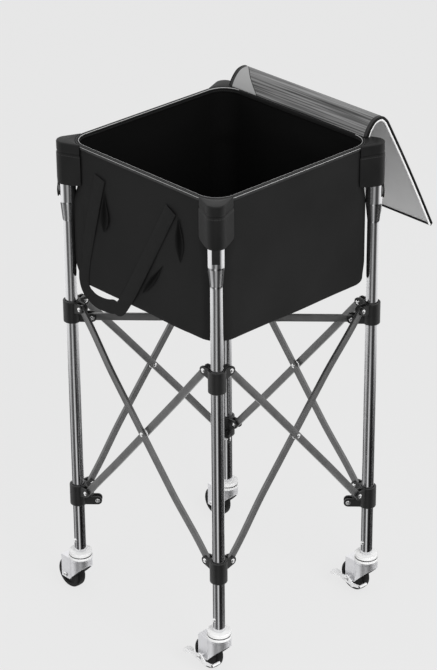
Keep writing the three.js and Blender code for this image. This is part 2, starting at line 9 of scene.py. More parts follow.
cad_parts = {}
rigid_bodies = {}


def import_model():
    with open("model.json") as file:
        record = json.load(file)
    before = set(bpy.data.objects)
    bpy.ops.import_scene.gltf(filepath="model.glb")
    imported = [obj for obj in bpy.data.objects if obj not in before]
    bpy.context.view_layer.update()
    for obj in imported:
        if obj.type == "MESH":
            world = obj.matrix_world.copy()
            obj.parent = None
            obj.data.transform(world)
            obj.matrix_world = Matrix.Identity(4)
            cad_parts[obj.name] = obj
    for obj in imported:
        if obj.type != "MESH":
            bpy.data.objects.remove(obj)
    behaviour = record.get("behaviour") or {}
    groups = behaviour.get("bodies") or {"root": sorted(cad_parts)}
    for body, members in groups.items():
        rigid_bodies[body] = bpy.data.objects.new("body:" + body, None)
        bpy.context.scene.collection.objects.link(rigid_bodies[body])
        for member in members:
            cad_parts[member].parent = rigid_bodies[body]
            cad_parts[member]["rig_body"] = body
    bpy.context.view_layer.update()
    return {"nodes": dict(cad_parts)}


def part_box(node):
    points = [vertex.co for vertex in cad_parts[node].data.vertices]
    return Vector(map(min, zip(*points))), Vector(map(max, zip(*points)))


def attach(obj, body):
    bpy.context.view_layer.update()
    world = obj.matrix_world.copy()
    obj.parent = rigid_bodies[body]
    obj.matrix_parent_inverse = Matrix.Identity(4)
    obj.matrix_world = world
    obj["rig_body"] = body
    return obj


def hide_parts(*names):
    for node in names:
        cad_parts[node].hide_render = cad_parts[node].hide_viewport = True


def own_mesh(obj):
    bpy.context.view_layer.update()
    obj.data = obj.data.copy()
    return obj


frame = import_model()

# Camera: stands before the front leg and looks down on the open bag.
# It was fitted to the collars, the casters and the legs, and is placed from the cart's own axis.
LEGS = ("left", "front", "right", "back")
tube_boxes = [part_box(f"leg_tube_{leg}") for leg in LEGS]
cart_axis = np.mean([np.add(*box) / 2 for box in tube_boxes], axis=0) * (1, 1, 0)
EYE = (3.0076, -2.8270, 2.6245)
turn, rise, roll = np.radians((46.85, 26.906, -0.4355))
sight = np.array((-math.sin(turn) * math.cos(rise), math.cos(turn) * math.cos(rise), -math.sin(rise)))
level = np.array((math.cos(turn), math.sin(turn), 0))
upright = np.cross(level, sight)
rolled = level * math.cos(roll) + upright * math.sin(roll)
columns = np.eye(4)
columns[:3, :4] = np.stack((rolled, np.cross(rolled, sight), -sight, cart_axis + EYE), axis=1)
lens = bpy.data.cameras.new("view")
lens.sensor_fit = "VERTICAL"
lens.sensor_height = 36
lens.lens = 141.75
camera = bpy.data.objects.new("view", lens)
camera.matrix_world = Matrix(columns.tolist())
bpy.context.scene.collection.objects.link(camera)
bpy.context.scene.camera = camera
bpy.context.scene.view_settings.view_transform = "Standard"


# Studio: a pale floor in even light, brighter from the right.
# Polished metal mirrors tall pale and dark screens that stand round the cart, brightest behind it.
def sign(operation, swapped=False):
    """A method for one of Python's signs, which adds the Math node of that name."""
    def add_node(self, *others):
        values = (self, *others)[::-1] if swapped else (self, *others)
        return self.finish.node("Math", {"operation": operation}, dict(enumerate(values)))
    return add_node


class Value:
    """One output of a shader, on which Python's signs work."""

    def __init__(self, finish, socket):
        self.finish, self.socket = finish, socket

    __add__, __sub__, __mul__, __truediv__ = (sign(name) for name in ("ADD", "SUBTRACT", "MULTIPLY", "DIVIDE"))
    __radd__, __rsub__, __rmul__ = (sign(name, True) for name in ("ADD", "SUBTRACT", "MULTIPLY"))
    __gt__, __lt__ = sign("GREATER_THAN"), sign("LESS_THAN")
    __abs__, sine, fraction = sign("ABSOLUTE"), sign("SINE"), sign("FRACT")

    def held(self, factor):
        """The value times the factor, held between 0 and 1."""
        return self.finish.node("Math", {"operation": "MULTIPLY", "use_clamp": True}, {0: self, 1: factor})


class Finish:
    """A material, or the world, that is mixed from nodes."""

    def __init__(self, owner):
        owner.use_nodes = True
        self.owner, self.tree = owner, owner.node_tree
        self.tree.nodes.clear()

    def node(self, kind, settings=(), inputs=(), out=0):
        """Adds a node of that type, with its settings, its ramp's stops and its sockets, and gives one output."""
        made = self.tree.nodes.new("ShaderNode" + kind)
        settings = dict(settings)
        stops = settings.pop("stops", ())
        for name, value in settings.items():
            setattr(made, name, value)
        if stops:
            elements = made.color_ramp.elements
            elements.remove(elements[1])
            elements[0].position, elements[0].color = stops[0]
            for position, colour in stops[1:]:
                elements.new(position).color = colour
        for name, value in dict(inputs).items():
            if isinstance(value, Value):
                self.tree.links.new(value.socket, made.inputs[name])
            else:
                made.inputs[name].default_value = value
        return Value(self, made.outputs[out]) if made.outputs else None

    def blend(self, factor, first, second):
        """The first colour where the factor is 0, the second where it is 1."""
        return self.node("Mix", {"data_type": "RGBA"}, {0: factor, 6: first, 7: second}, out=2)

    def noise(self, scale, detail=3.0, stretch=(1, 1, 1)):
        """Cloudy values from 0 to 1, scale clouds to the metre, each axis of the object's space stretched."""
        place = self.node("TexCoord", out="Object")
        place = self.node("Mapping", inputs={"Vector": place, "Scale": stretch})
        return self.node("TexNoise", inputs={"Vector": place, "Scale": scale, "Detail": detail})

    def pattern(self, part):
        """One of the three numbers that the piece's mesh carries for each of its points."""
        place = self.node("Attribute", {"attribute_name": "pattern"}, out="Vector")
        return self.node("SeparateXYZ", inputs={0: place}, out=part)

    def between(self, value, low, high):
        """1 where the value lies between low and high, and 0 elsewhere."""
        return (value > low) * (value < high)

    def surface(self, colour, roughness, relief=None, strength=0.3, depth=0.0002, **constant):
        """Ends the material in the Principled shader, with a Bump node where it has a relief."""
        inputs = {"Base Color": colour, "Roughness": roughness}
        inputs.update({name.replace("_", " "): value for name, value in constant.items()})
        if relief is not None:
            bump = {"Height": relief, "Strength": strength, "Distance": depth}
            inputs["Normal"] = self.node("Bump", inputs=bump)
        shader = self.node("BsdfPrincipled", inputs=inputs)
        self.node("OutputMaterial", inputs={"Surface": shader})
        return self.owner


def grey(shade, red=0, blue=0):
    """The colour of a grey from 0 to 255 as a screen shows it, each part ((c + 0.055) / 1.055) to the power 2.4."""
    shades = (np.array((shade + red, shade, shade + blue)) / 255 + 0.055) / 1.055
    return (*(shades**2.4), 1.0)


def material(name):
    return Finish(bpy.data.materials.new(name))


backdrop = grey(235)
LAMP_AIM = (0, 0, 0.6)
# What the metal mirrors, as (degrees from the camera's side, shade): below for the lower legs, then for the rest.
LOW_SCREENS = (
    (-180, 248), (-150, 236), (-128, 62), (-105, 92), (-92, 186), (-80, 150), (-66, 88), (-48, 50),
    (-28, 92), (-16, 220), (-4, 226), (8, 96), (20, 12), (46, 10), (70, 18), (90, 44),
    (118, 44), (140, 150), (158, 242), (180, 248),
)
HIGH_SCREENS = (
    (-180, 250), (-130, 250), (-110, 246), (-86, 246), (-66, 240), (-50, 130), (-36, 84), (-20, 96),
    (-6, 165), (8, 160), (20, 74), (40, 66), (56, 100), (70, 200), (84, 240), (115, 250), (180, 248),
)
room = Finish(bpy.data.worlds.new("studio"))
bpy.context.scene.world = room.owner
direction = room.node("TexCoord", out="Generated")
across, deep, tall = (room.node("SeparateXYZ", inputs={0: direction}, out=i) for i in range(3))
bearing = room.node("Math", {"operation": "ARCTAN2"}, {0: deep, 1: across})
around = (bearing / math.tau + 0.75 - math.degrees(turn) / 360).fraction()
low, high = (
    room.node("ValToRGB", {"stops": [((angle + 180) / 360, grey(shade)) for angle, shade in screens]}, {0: around})
    for screens in (LOW_SCREENS, HIGH_SCREENS))
# The lower legs mirror rays that fall by LOW_GLANCE, give or take GLANCE_SPREAD. Above CEILING all is pale.
LOW_GLANCE, GLANCE_SPREAD, CEILING = -0.5125, 0.0475, 0.25
raised = (abs(tall - LOW_GLANCE) - GLANCE_SPREAD).held(80.0)
screens = room.blend(raised, low, high)
overhead = (tall - CEILING).held(4.0)
mirrored = room.blend(overhead, screens, grey(253))
ray = {name: room.node("LightPath", out=name)
       for name in ("Is Camera Ray", "Is Glossy Ray", "Is Transmission Ray")}
seen = room.blend(ray["Is Glossy Ray"], grey(196), mirrored)
seen = room.blend(ray["Is Camera Ray"] + ray["Is Transmission Ray"], seen, backdrop)
room.node("OutputWorld", inputs={"Surface": room.node("Background", inputs={"Color": seen})})


def lamp(name, place, size, power):
    """A soft square lamp that shines at the middle of the cart and doesn't show in polished metal."""
    light = bpy.data.lights.new(name, "AREA")
    light.size, light.energy = size, power
    made = bpy.data.objects.new(name, light)
    made.location = cart_axis + place
    aim = LAMP_AIM - np.array(place)
    made.rotation_euler = Vector(aim).to_track_quat("-Z", "Y").to_euler()
    made.visible_glossy = False
    bpy.context.scene.collection.objects.link(made)


lamp("right_light", (2.6, -0.5, 2.2), 1.6, 53)
lamp("front_light", (0.4, -2.8, 2.0), 1.6, 15)

ground = bpy.data.meshes.new("floor")
wide = 9
ground.from_pydata([(-wide, -wide, 0), (wide, -wide, 0), (wide, wide, 0), (-wide, wide, 0)], [], [(0, 1, 2, 3)])
floor = bpy.data.objects.new("floor", ground)
bpy.context.scene.collection.objects.link(floor)
floor.visible_glossy = False
paint = material("floor_paint")
plain = paint.node("BsdfDiffuse", inputs={"Color": grey(232)})
glow = paint.node("Emission", inputs={"Color": backdrop, "Strength": 1.0})
shown = paint.node("LightPath", out="Is Camera Ray") * 0.9
paint.node("OutputMaterial", inputs={"Surface": paint.node("MixShader", inputs={0: shown, 1: plain, 2: glow})})
ground.materials.append(paint.owner)


# Legs: four drawn aluminium tubes, polished, each swaged wider at its top end.
# The upper collars slide on them and leave fine marks along the metal.
def quads(rows, columns, wrap_rows=False, wrap_columns=False):
    """The four-cornered faces of a grid of points; a wrapped way also joins its last line to its first."""
    r, c = np.meshgrid(
        np.arange(rows - (not wrap_rows)), np.arange(columns - (not wrap_columns)), indexing="ij")
    below, beside = (r + 1) % rows, (c + 1) % columns
    corners = (r * columns + c, r * columns + beside, below * columns + beside, below * columns + c)
    return np.stack(corners, axis=-1).reshape(-1, 4)


def turned(profile, sides=48, closed=False):
    """A profile turned on a lathe: the point (r, z) goes round as (r cos t, r sin t, z)."""
    profile = np.asarray(profile, float)
    t = np.arange(sides) * math.tau / sides
    radius, height = profile[:, :1], profile[:, 1:]
    points = np.stack((radius * np.cos(t), radius * np.sin(t), height + 0 * t), axis=-1)
    return points.reshape(-1, 3), [quads(len(profile), sides, closed, True)]


def capped(rings):
    """Rings of points joined in their order, with a flat face on the first and on the last."""
    rows, count = rings.shape[:2]
    end = np.arange(count)[None]
    return rings.reshape(-1, 3), [quads(rows, count, wrap_columns=True), end, end + (rows - 1) * count]


def moved(shell, place=(0, 0, 0), angle=0, axis="Z"):
    """The shell turned by the angle, in degrees, about the axis, and then set down at the place."""
    spin = np.array(Matrix.Rotation(math.radians(angle), 3, axis))
    return shell[0] @ spin.T + place, shell[1]


def joined(*shells):
    """Several shells as one: the faces of each count on from the points before it."""
    starts = np.cumsum([0] + [len(points) for points, _ in shells[:-1]])
    faces = [group + start for (_, groups), start in zip(shells, starts) for group in groups]
    return np.concatenate([points for points, _ in shells]), faces


def rounded(corners, radius, steps=4, closed=False):
    """The line through the corners, each cut back by the radius and bridged by the curve
    (1-t)^2 a + 2t(1-t) corner + t^2 b between the cut ends a and b."""
    corners = np.asarray(corners, float)
    ways, reaches = [], []
    for shift in (1, -1):
        side = np.roll(corners, shift, axis=0) - corners
        length = np.linalg.norm(side, axis=1, keepdims=True)
        ways.append(side / np.maximum(length, 1e-9))
        reaches.append(np.minimum(np.reshape(radius, (-1, 1)), length / 2))
    if not closed:
        for reach in reaches:
            reach[[0, -1]] = 0
    a, b = (corners + way * reach for way, reach in zip(ways, reaches))
    t = np.linspace(0, 1, steps + 1)[:, None]
    bends = (1 - t) ** 2 * a[:, None] + 2 * t * (1 - t) * corners[:, None] + t**2 * b[:, None]
    return bends.reshape(-1, corners.shape[1])


def smooth(t):
    """Rises from 0 to 1 without a kink: 3t^2 - 2t^3, level outside."""
    t = np.clip(t, 0, 1)
    return t * t * (3 - 2 * t)


def piece(name, shell, node, finish, slot, stands_for=True, eased=0, pattern=None, crease=35):
    """Makes the mesh, merges what coincides, turns the faces outwards and puts the piece on its node's body."""
    points, groups = shell
    mesh = bpy.data.meshes.new(name)
    mesh.from_pydata((points + cart_axis).tolist(), [], [f for group in groups for f in group.tolist()])
    if pattern is not None:
        held = mesh.attributes.new("pattern", "FLOAT_VECTOR", "POINT")
        held.data.foreach_set("vector", np.asarray(pattern, np.float32).ravel())
    work = bmesh.new()
    work.from_mesh(mesh)
    bmesh.ops.remove_doubles(work, verts=work.verts, dist=2e-6)
    bmesh.ops.recalc_face_normals(work, faces=work.faces)
    work.to_mesh(mesh)
    work.free()
    mesh.shade_smooth()
    mesh.set_sharp_from_angle(angle=math.radians(crease))
    mesh.materials.append(finish)
    made = bpy.data.objects.new(name, mesh)
    bpy.context.scene.collection.objects.link(made)
    if eased:
        bevel = made.modifiers.new("eased", "BEVEL")
        bevel.width, bevel.segments, bevel.limit_method = eased, 2, "ANGLE"
        bevel.angle_limit = math.radians(crease)
        bevel.harden_normals = True
    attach(made, frame["nodes"][node]["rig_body"])
    if stands_for:
        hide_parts(node)
    return made


half = 0.185  # half the legs' spacing
CORNERS = {leg: np.array((x, y, 0)) * half
           for leg, (x, y) in zip(LEGS, ((-1, -1), (1, -1), (1, 1), (-1, 1)))}
TURNS = dict(zip(LEGS, (0, 90, 180, 270)))


def at_legs(name, shell, finish, slot, node, place=(0, 0, 0), **ways):
    """The same piece at every leg, standing for that leg's node."""
    for leg, corner in CORNERS.items():
        piece(f"{name}_{leg}", moved(shell, corner + place), f"{node}_{leg}", finish, slot, **ways)


polish = material("polished_tube")
drawn = polish.noise(900, 4, (1, 1, 0.012))
rubbed = polish.noise(140, 5, (1, 1, 0.3))
tube_metal = polish.surface(
    polish.blend(drawn, grey(228, 0, 2), grey(240, 0, 1)), 0.07 + drawn * 0.07 + rubbed * 0.05,
    drawn, 0.12, 0.00005, Metallic=1.0)

TUBE, SWAGE, TUBE_WALL, TUBE_FOOT, TUBE_TOP = 0.011, 0.0145, 0.0015, 0.0873, 0.897
swage_line = rounded([(TUBE, 0.748), (TUBE, 0.753), (SWAGE, 0.787), (SWAGE, 0.792)], 0.002, 3)
outside = [(TUBE - 0.0003, TUBE_FOOT), (TUBE, TUBE_FOOT + 0.0004), *swage_line,
           (SWAGE, TUBE_TOP - 0.0005), (SWAGE - 0.0003, TUBE_TOP)]
inside = [(SWAGE - TUBE_WALL, TUBE_TOP), *(swage_line[::-1] - (TUBE_WALL, 0)), (TUBE - TUBE_WALL, TUBE_FOOT)]
at_legs("tube", turned([*outside, *inside], 64, closed=True), tube_metal, "leg_metal", "leg_tube")


# Caster stems: white moulded nylon, a shouldered raceway under a plug that fits the tube.
# The kingpin goes through the fork's plate and is headed over below it, and the raceway's groove is painted dark as
# its shade.
moulded = material("white_nylon")
mottle = moulded.noise(260, 3)
GROOVE_FOOT, GROOVE_TOP = 0.0780, 0.0800
height = moulded.node("SeparateXYZ", inputs={0: moulded.node("TexCoord", out="Object")}, out=2)
# Painted shade: the band of the raceway's groove is coloured dark grey.
painted_groove_shade = moulded.between(height, GROOVE_FOOT + 0.0001, GROOVE_TOP - 0.0001)
white_nylon = moulded.surface(
    moulded.blend(painted_groove_shade, moulded.blend(mottle, grey(248), grey(254)), grey(58)), 0.34 + mottle * 0.1, mottle,
    0.1, 0.0001)

KINGPIN, KINGPIN_HEAD, HEAD_FOOT, HEAD_TOP = 0.004, 0.007, 0.0619, 0.0649
RACEWAY, GROOVE, SHOULDER, PLUG = 0.022, 0.0180, 0.0207, 0.0092
RACEWAY_FOOT, SHOULDER_TOP, PLUG_TOP = 0.0737, 0.087, 0.139
stem_line = rounded([
    (0, HEAD_FOOT), (KINGPIN_HEAD, HEAD_FOOT), (KINGPIN_HEAD, HEAD_TOP), (KINGPIN, HEAD_TOP),
    (KINGPIN, RACEWAY_FOOT), (RACEWAY, RACEWAY_FOOT), (RACEWAY, GROOVE_FOOT), (GROOVE, GROOVE_FOOT + 0.0003),
    (GROOVE, GROOVE_TOP - 0.0003), (SHOULDER, GROOVE_TOP), (SHOULDER, SHOULDER_TOP), (PLUG, SHOULDER_TOP),
    (PLUG, PLUG_TOP), (0, PLUG_TOP),
], 0.0005, 3)
at_legs("stem", turned(stem_line, 64), white_nylon, "white_nylon", "caster_stem")


# Snap buttons: sprung steel pegs with domed ends that lock each stem in its tube.
# The tube's wall holds the flange back, and a thumb pushes the dome in.
bright = material("bright_steel")
fine = bright.noise(500, 3)
bright_steel = bright.surface(
    bright.blend(fine, grey(236), grey(248)), 0.08 + fine * 0.08, fine, 0.05, 0.00005, Metallic=1.0)

BUTTON, FLANGE, STANDOUT, BUTTON_HEIGHT = 0.0038, 0.0046, 0.0031, 0.111
dome = np.linspace(0, math.pi / 2, 7)
button_line = [(0, 0.0063), (FLANGE, 0.0063), (FLANGE, 0.0081), (BUTTON, 0.0081),
               *np.stack((BUTTON * np.cos(dome), 0.0109 + STANDOUT * np.sin(dome)), axis=1)]
at_legs("button", moved(turned(button_line, 24), angle=90, axis="X"), bright_steel, "bright_steel", "snap_button",
        (0, 0, BUTTON_HEIGHT))


# Caster forks: pressed steel, zinc plated, straight legs behind a round hood that hangs lower behind.
# The plate is thin and its cut edges shine. A plated cup on top of it turns about the stem's raceway.
plated = material("zinc_plate")
brushed = plated.noise(700, 3, (0.1, 0.1, 1))
spangle = plated.noise(90, 2)
zinc = plated.surface(
    plated.blend(spangle, grey(236, 0, 2), grey(248, 0, 3)), 0.34 + brushed * 0.14, brushed, 0.15, 0.00005,
    Metallic=0.92)

FORK_TOP, FORK_LEGS, FORK_REAR, FORK_SIDE, FORK_BEND = 0.0687, 0.02275, -0.0373, 0.0156, -0.0148
HOOD, HOOD_FOOT, FORK_WALL, FORK_PLATE = 0.0215, 0.0605, 0.0028, 0.0035


def fork_plan(wall):
    """The fork from above: straight sides at half the width, then the hood's circle about the kingpin."""
    side, radius = FORK_SIDE - wall, HOOD - wall
    meet = math.asin(side / radius)
    t = np.linspace(meet - math.pi, math.pi - meet, 57)
    hood = np.stack((radius * np.cos(t), radius * np.sin(t)), axis=1)
    return np.concatenate(([(FORK_REAR, -side)], hood, [(FORK_REAR, side)]))


def fork_edge(x):
    """The lower edge seen from the side: level along the legs, then a straight rise to the hood's front."""
    return FORK_LEGS + np.clip((x - FORK_BEND) / (HOOD - FORK_BEND), 0, 1) * (HOOD_FOOT - FORK_LEGS)


outer, inner = fork_plan(0), fork_plan(FORK_WALL)
flat = 0 * outer[:, 0]
rows = [np.stack(row, axis=1) for row in (
    (inner[:, 0], flat, flat + FORK_TOP - FORK_PLATE), (*inner.T, flat + FORK_TOP - FORK_PLATE),
    (*inner.T, fork_edge(inner[:, 0])), (*outer.T, fork_edge(outer[:, 0])),
    (*outer.T, flat + FORK_TOP), (outer[:, 0], flat, flat + FORK_TOP))]
ends = np.arange(len(rows))[None] * len(outer)
fork = (np.concatenate(rows), [quads(len(rows), len(outer)), ends, ends + len(outer) - 1])
CUP_FOOT, CUP_TOP = 0.0690, 0.0734
cup = turned(rounded([(0.0045, CUP_FOOT), (HOOD, CUP_FOOT), (HOOD + 0.0002, CUP_TOP), (0.0045, CUP_TOP)],
                     0.0004, 3, True), 64, closed=True)
for leg, corner in CORNERS.items():
    piece(f"fork_{leg}", moved(fork, corner), f"caster_fork_{leg}", zinc, "zinc", eased=0.0005, crease=30)
    piece(f"swivel_cup_{leg}", moved(cup, corner), f"caster_fork_{leg}", zinc, "zinc", stands_for=False)


# Caster wheels: black moulded tread on a dished core, free on their axles.
# The black is a little mottled with wear, and the tread's shoulders are rounded.
tyre = material("wheel_rubber")
worn = tyre.noise(220, 4)
black_rubber = tyre.surface(
    tyre.blend(worn, grey(11), grey(22)), 0.45 + worn * 0.3, worn, 0.25, 0.0002, Specular_IOR_Level=0.25)

BORE, HUB, DISH, SHOULDER_IN, TREAD = 0.0033, 0.008, 0.020, 0.0265, 0.0295
HUB_SIDE, DISH_SIDE, TREAD_SIDE = 0.0115, 0.0065, 0.009
wheel_side = rounded([
    (BORE, HUB_SIDE), (HUB, HUB_SIDE), (HUB + 0.0005, DISH_SIDE), (DISH - 0.0005, DISH_SIDE), (DISH, TREAD_SIDE),
    (SHOULDER_IN, TREAD_SIDE), (TREAD - 0.0005, DISH_SIDE), (TREAD, 0.0),
], 0.0008, 3)
wheel_line = np.concatenate((wheel_side, (wheel_side * (1, -1))[::-1]))
AXLE = (-0.026, 0, 0.02925)
at_legs("wheel", moved(turned(wheel_line, 72, closed=True), angle=90, axis="X"), black_rubber, "wheel_rubber",
        "caster_wheel", AXLE)


# Axles: a bolt through fork and wheel with a low round head and a six-sided nut.
# On the braked casters the near end reaches out through the lever's cheek.
BRAKED = ("front", "right")
BOLT, BOLT_HEAD, NUT_DEPTH = 0.003, 0.005, 0.002
FORK_SEAT, LEVER_SEAT = FORK_SIDE + 0.0003, 0.0243
for leg, corner in CORNERS.items():
    near = LEVER_SEAT if leg in BRAKED else FORK_SEAT
    shank = turned([(0, -FORK_SEAT), (BOLT, -FORK_SEAT), (BOLT, near), (0, near)], 24)
    head_line = rounded([(0, 0), (BOLT_HEAD, 0), (BOLT_HEAD, 0.0011), (0.0034, 0.0021), (0, 0.0022)], 0.0008, 3)
    head = moved(turned(head_line, 32), (0, 0, near))
    nut_line = [(0, 0), (0.0046, 0), (BOLT_HEAD, 0.0005), (BOLT_HEAD, 0.0014), (0.0042, NUT_DEPTH), (0, NUT_DEPTH)]
    nut = moved(turned(nut_line, 6), (0, 0, -FORK_SEAT - NUT_DEPTH))
    axle = moved(moved(joined(shank, head, nut), angle=90, axis="X"), corner + AXLE)
    piece(f"axle_{leg}", axle, f"caster_axle_{leg}", bright_steel, "bright_steel")


# Brake levers: a plated cheek on the axle with a paddle behind the wheel and a shoe before it.
# The paddle's top is ridged for the foot.
def slab(outline, low, high):
    """A flat plate: the outline (x, z) at the two depths low and high along y, with both faces."""
    x, z = np.asarray(outline, float).T
    return capped(np.stack([np.stack((x, 0 * x + y, z), axis=1) for y in (low, high)]))


def bow(middle, radius, start, end, steps=12):
    """Points round a middle from one angle to another, in degrees."""
    t = np.radians(np.linspace(start, end, steps + 1))
    return np.stack((middle[0] + radius * np.cos(t), middle[1] + radius * np.sin(t)), axis=1)


pressed = material("brake_plate")
scuffed = pressed.noise(300, 4)
brake_plate = pressed.surface(
    pressed.blend(scuffed, grey(246, 0, 1), grey(254)), 0.3 + scuffed * 0.15, scuffed, 0.1, 0.00005, Metallic=0.1)

SHOE_FROM_AXLE, SHOE_DROP, SHOE, BOSS = 0.0329, -0.0045, 0.0025, 0.0065
PADDLE_FOOT, PADDLE_TOP = -0.0035, -0.0005
CHEEK_FACE, CHEEK_BACK = -0.024, -0.0218
cheek = np.concatenate((
    [(-0.038, PADDLE_TOP), (-0.038, PADDLE_FOOT), (-0.020, PADDLE_FOOT)],
    bow((0.0135, SHOE_DROP), 0.0075, 225, 315), bow((SHOE_FROM_AXLE, SHOE_DROP), SHOE, -90, 90, 8),
    [(0.015, -0.004)], bow((0, 0), BOSS, 45, 135, 8)))
paddle = rounded([(-0.040, -0.028), (-0.025, -0.028), (-0.025, -0.011), (-0.040, -0.011)], 0.006, 5, True)
paddle = capped(np.stack([np.column_stack((paddle, np.full(len(paddle), z))) for z in (PADDLE_FOOT, PADDLE_TOP)]))
ridge = slab([(-0.0004, 0), (0.0004, 0), (0.0003, 0.0002), (-0.0003, 0.0002)], -0.0240, -0.0140)
ridges = [moved(ridge, (x, 0, PADDLE_TOP)) for x in (-0.0355, -0.0332, -0.0309, -0.0286)]
shoe = moved(turned([(0, 0.006), (SHOE, 0.006), (SHOE, 0.024), (0, 0.024)], 20), angle=90, axis="X")
lever = joined(slab(cheek, CHEEK_FACE, CHEEK_BACK), paddle, moved(shoe, (SHOE_FROM_AXLE, 0, SHOE_DROP)), *ridges)
for leg in BRAKED:
    piece(f"brake_{leg}", moved(lever, CORNERS[leg] + AXLE), f"caster_brake_{leg}", brake_plate,
          "zinc", eased=0.0003)


# Collars: black moulded barrels, the lower ones fixed to the legs and the upper ones sliding.
# Each has two side lugs for the scissor bars and a longer one towards the middle, all slotted.
satin = material("black_plastic")
grain = satin.noise(1400, 2)
cloud = satin.noise(45, 3)
black_plastic = satin.surface(
    satin.blend(cloud, grey(20), grey(32)), 0.33 + grain * 0.12, grain, 0.2, 0.00008)

BORE_RADIUS, BARREL, BARREL_HEIGHT = 0.0113, 0.0155, 0.041
EAR, EAR_IN, EAR_OUT, LUG_START = 0.008, 0.0035, 0.0072, 0.0125
barrel = turned(rounded([(BORE_RADIUS, 0), (BARREL, 0), (BARREL, BARREL_HEIGHT), (BORE_RADIUS, BARREL_HEIGHT)],
                        0.0016, 5, True), 64, closed=True)


def lug(reach, height, root, low):
    """Two ears with a web between them up to the slot's root: a straight lower edge, then half a circle round
    the rivet's middle and a level upper edge."""
    at_start, at_root = (low + (height - EAR - low) * x / reach for x in (LUG_START, root))
    top = height + EAR
    ear = np.concatenate(([(LUG_START, at_start)], bow((reach, height), EAR, -90, 90, 14), [(LUG_START, top)]))
    web = [(LUG_START, at_start), (root, at_root), (root, top), (LUG_START, top)]
    return joined(slab(ear, -EAR_OUT, -EAR_IN), slab(ear, EAR_IN, EAR_OUT), slab(web, -0.0036, 0.0036))


def rivet(span, side="X"):
    """A domed rivet across y: a shank of 2.5 mm and two caps that fall off as a quarter ellipse."""
    t = np.linspace(0, math.pi / 2, 6)
    cap = np.stack((0.0043 * np.cos(t), span / 2 + 0.0018 * np.sin(t)), axis=1)
    line = np.concatenate(((cap * (1, -1))[::-1], [(0.0025, -span / 2), (0.0025, span / 2)], cap))
    return moved(turned(line, 24), angle=90, axis=side)


SIDE_PIN, SIDE_HEIGHT, MIDDLE_PIN, MIDDLE_HEIGHT = 0.027, 0.032, 0.035, 0.008
LOWER, UPPER = 0.187, 0.557
side_lug, middle_lug = lug(SIDE_PIN, SIDE_HEIGHT, 0.017, 0.016), lug(MIDDLE_PIN, MIDDLE_HEIGHT, 0.020, 0)
collar = joined(barrel, side_lug, moved(side_lug, angle=90), moved(middle_lug, angle=45))
side_pin, middle_pin = (moved(rivet(2 * EAR_OUT), (x, 0, z))
                        for x, z in ((SIDE_PIN, SIDE_HEIGHT), (MIDDLE_PIN, MIDDLE_HEIGHT)))
pins = joined(side_pin, moved(side_pin, angle=90), moved(middle_pin, angle=45))
for leg, corner in CORNERS.items():
    for place, height in (("lower", LOWER), ("upper", UPPER)):
        spot, node = corner + (0, 0, height), f"{place}_collar_{leg}"
        piece(f"{node}_shell", moved(collar, spot, TURNS[leg]), node, black_plastic, "black_plastic", eased=0.0004)
        piece(f"{place}_rivets_{leg}", moved(pins, spot, TURNS[leg]), node, bright_steel, "bright_steel",
              stands_for=False)


# Scissor bars: flat aluminium strip with round ends, two to a side, riveted where they cross.
# Each is set a little sideways in the middle, so that the pair passes with a washer between.
coated = material("bar_metal")
pull = coated.noise(900, 3, (0.05, 0.05, 0.05))
dull = coated.noise(60, 3)
bar_metal = coated.surface(
    coated.blend(dull, grey(106), grey(132)), 0.26 + dull * 0.12, pull, 0.1, 0.00005, Metallic=0.85)

BAR, BAR_HALF = 0.0065, 0.003  # half the strip's width and half its thickness


def strip(start, end, sideways):
    """A flat strip along x with round ends: at each station the section is a rectangle with eased corners, of
    half width w = sqrt(r^2 - d^2) beyond a hole by d, and it stands sideways by the given line of x."""
    t = np.radians(np.linspace(0, 90, 9))
    inner_x = np.linspace(start, end, 41)[1:-1]
    stations = np.concatenate((start - BAR * np.cos(t), inner_x, (end + BAR * np.cos(t))[::-1]))
    beyond = np.clip(np.maximum(start - stations, stations - end), 0, BAR)
    wide = np.sqrt(np.maximum(BAR**2 - beyond**2, 1e-12))
    corner = rounded([(-BAR_HALF, -1), (BAR_HALF, -1), (BAR_HALF, 1), (-BAR_HALF, 1)], 0.0009, 3, True)
    edge = np.sign(corner[:, 1])[None]
    eased = (np.abs(corner[:, 1]) - 1)[None]
    y = corner[:, 0][None] + sideways(stations)[:, None]
    z = edge * wide[:, None] + edge * eased * np.minimum(1, wide / BAR)[:, None]
    return capped(np.stack((stations[:, None] + 0 * y, y, z), axis=-1))


SIDES = ("front_left", "front_right", "back_right", "back_left")
reach, tilt, proud, CROSSING = 0.2433, 49.5, 0.00405, (0, -half, 0.404)
STEP_END, STEP = 0.2193, 0.1093  # where a bar starts to step sideways, and over what length
WASHER, WASHER_BORE, WASHER_HALF = 0.008, 0.0028, 0.00075
washer_line = rounded([(WASHER_BORE, -WASHER_HALF), (WASHER, -WASHER_HALF), (WASHER, WASHER_HALF),
                       (WASHER_BORE, WASHER_HALF)], 0.0003, 2, True)
washer = moved(moved(turned(washer_line, 40, closed=True), angle=90, axis="X"), CROSSING)
for turn_count, side in enumerate(SIDES):
    for name, lean, way in (("rising", -tilt, 1), ("falling", tilt, -1)):
        bar = strip(-reach, reach, lambda x: way * proud * smooth((STEP_END - np.abs(x)) / STEP))
        bar = moved(moved(bar, CROSSING, lean, "Y"), angle=90 * turn_count)
        piece(f"{name}_bar_{side}", bar, f"scissor_{name}_{side}", bar_metal, "bar_metal")
    stud = moved(moved(rivet(0.0147), CROSSING), angle=90 * turn_count)
    piece(f"middle_rivet_{side}", stud, f"scissor_falling_{side}", bright_steel, "bright_steel", stands_for=False)
    piece(f"washer_{side}", moved(washer, angle=90 * turn_count), f"scissor_spacer_{side}", white_nylon,
          "white_nylon")


